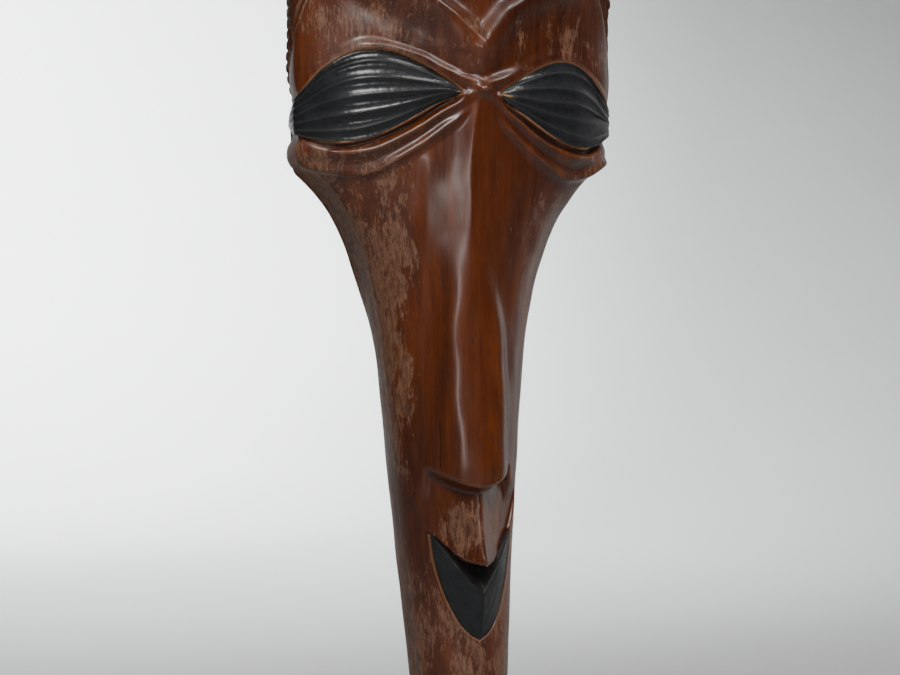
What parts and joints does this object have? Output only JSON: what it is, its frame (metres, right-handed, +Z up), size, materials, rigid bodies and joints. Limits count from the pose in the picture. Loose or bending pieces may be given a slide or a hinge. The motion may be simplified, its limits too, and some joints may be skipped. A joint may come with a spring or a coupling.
{
  "type": "carved wooden mask",
  "caption": "Tall, narrow carved wooden wall mask with a long nose, black fluted eyes, black faceted lips, a very long tapering chin, a hollow back and a swinging hanger ring.",
  "frame": {"origin": "hang point: the top of the hanger ring's opening, on the wall plane behind the mask", "axes": "+Z up along the mask, +Y towards the wall (the face looks to -Y), +X to the viewer's right"},
  "size_m": [0.1662, 0.0568, 0.6194],
  "materials": {
    "carved_wood": "dark red-brown hardwood, satin wax, worn paler on the cheeks",
    "black_wood": "blackened wood, semi-gloss, with chisel marks",
    "steel": "zinc-plated, slightly dulled",
    "screw_brass": "brass-plated, dulled"
  },
  "bodies": {
    "mask": {"face_block": "carved_wood", "left_eye": "black_wood", "right_eye": "black_wood", "left_lip": "black_wood", "right_lip": "black_wood", "hanger_strap": "steel", "hanger_screws": "screw_brass"},
    "ring": {"hanger_ring": "steel"}
  },
  "joints": [
    {"name": "ring_swing", "type": "hinge", "parent": "mask", "child": "ring", "pos_m": [0, -0.00374, -0.0158], "axis": [-1, 0, 0], "range_deg": [0, 170]}
  ]
}
